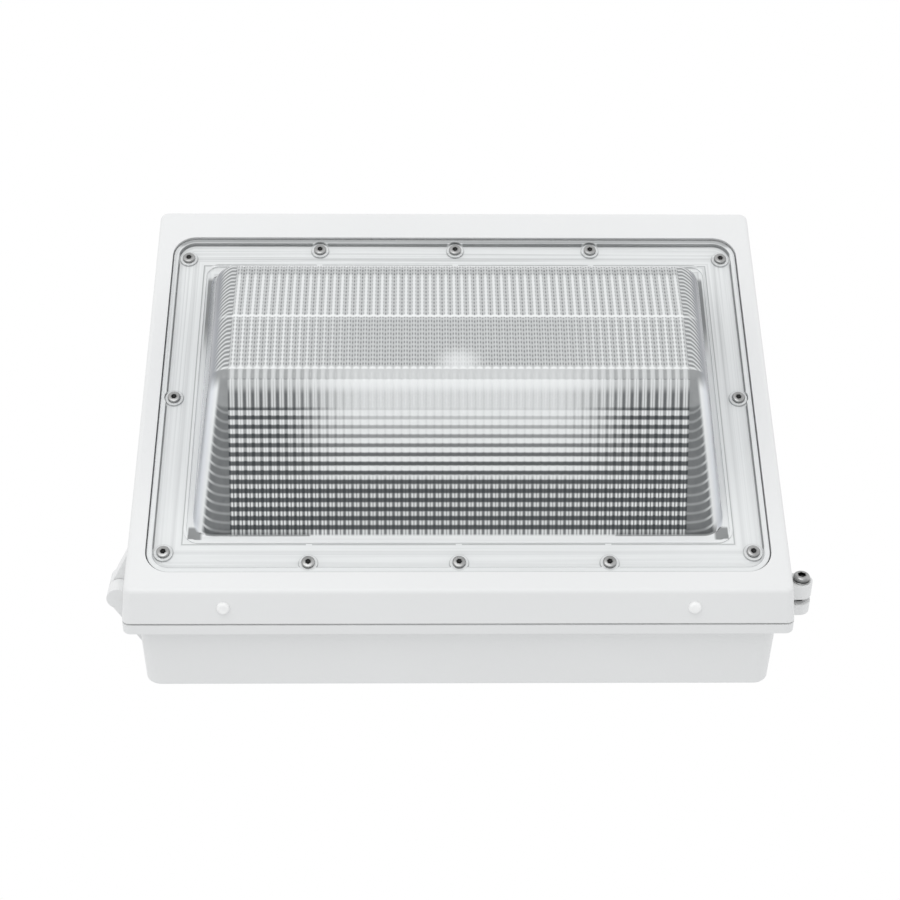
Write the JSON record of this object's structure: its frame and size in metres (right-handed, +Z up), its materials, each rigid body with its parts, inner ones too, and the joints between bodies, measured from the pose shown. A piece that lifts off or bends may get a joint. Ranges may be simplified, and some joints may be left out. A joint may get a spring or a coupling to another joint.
{
  "type": "wall pack light",
  "caption": "Wedge-shaped outdoor wall light: die-cast back box with a hinged door that carries a clear prismatic bulged lens, held shut by captive latch screws.",
  "frame": {"origin": "centre of the back face of the back box, in the plane of the wall", "axes": "+X to the right of a viewer facing the wall, +Z up the wall, +Y into the wall, so the light stands out towards -Y"},
  "size_m": [0.3912, 0.1902, 0.2502],
  "materials": {
    "powder_coat": "white polyester powder coat, semi-gloss",
    "clear_lens": "clear moulded polycarbonate, glossy",
    "silicone": "grey silicone, matte",
    "stainless": "stainless steel, as machined",
    "zinc_steel": "zinc plated steel",
    "white_nylon": "white nylon, satin",
    "black_rubber": "black rubber, matte",
    "white_sheet": "white coated steel sheet",
    "aluminium_sheet": "bent aluminium sheet, mill finish",
    "bright_aluminium": "bright anodised reflector sheet",
    "grey_pad": "grey thermal pad, matte",
    "board_white": "white solder mask on an aluminium board",
    "phosphor": "yellow phosphor under silicone",
    "driver_case": "satin aluminium case",
    "terminal_plastic": "natural nylon",
    "brass": "plain brass"
  },
  "bodies": {
    "housing": {"back_box": "powder_coat", "box_gasket": "silicone", "hinge_pins": "stainless", "hinge_clips": "stainless", "conduit_plug_left": "white_nylon", "conduit_plug_right": "white_nylon", "conduit_plug_top": "white_nylon", "conduit_plug_seals": "black_rubber", "gear_tray": "white_sheet", "gear_tray_screws": "zinc_steel", "led_bracket": "aluminium_sheet", "led_bracket_screws": "zinc_steel", "thermal_pad": "grey_pad", "led_board": "board_white", "led_chips": "phosphor", "led_board_screws": "zinc_steel", "board_connector": "white_nylon", "reflector": "bright_aluminium", "reflector_screws": "zinc_steel", "driver": "driver_case", "driver_screws": "zinc_steel", "terminal_block": "terminal_plastic", "terminal_clamps": "zinc_steel", "terminal_screws": "zinc_steel", "earth_screw": "brass"},
    "door": {"door_frame": "powder_coat", "lens": "clear_lens", "lens_gasket": "silicone", "lens_screws": "stainless", "weep_plugs": "white_nylon", "latch_retainers": "stainless"},
    "latch_washer_lower": {"latch_washer_lower": "stainless"},
    "latch_washer_upper": {"latch_washer_upper": "stainless"},
    "latch_screw_lower": {"latch_screw_lower": "stainless"},
    "latch_screw_upper": {"latch_screw_upper": "stainless"}
  },
  "joints": [
    {"name": "door_hinge", "type": "hinge", "parent": "housing", "child": "door", "pos_m": [-0.1885, -0.05, 0], "axis": [0, 0, -1], "range_deg": [0, 105]},
    {"name": "latch_slide_lower", "type": "slide", "parent": "door", "child": "latch_washer_lower", "axis": [0, -1, 0], "range_m": [0, 0.008]},
    {"name": "latch_turn_lower", "type": "hinge", "parent": "latch_washer_lower", "child": "latch_screw_lower", "pos_m": [0.1898, -0.0631, -0.101], "axis": [0, -1, 0], "range_deg": [0, 3600]},
    {"name": "latch_slide_upper", "type": "slide", "parent": "door", "child": "latch_washer_upper", "axis": [0, -1, 0], "range_m": [0, 0.008]},
    {"name": "latch_turn_upper", "type": "hinge", "parent": "latch_washer_upper", "child": "latch_screw_upper", "pos_m": [0.1898, -0.0631, 0.101], "axis": [0, -1, 0], "range_deg": [0, 3600]}
  ],
  "couplings": [
    {"joint": "latch_turn_lower", "follows": "latch_slide_lower", "rad_per_m": 7854},
    {"joint": "latch_turn_upper", "follows": "latch_slide_upper", "rad_per_m": 7854}
  ]
}
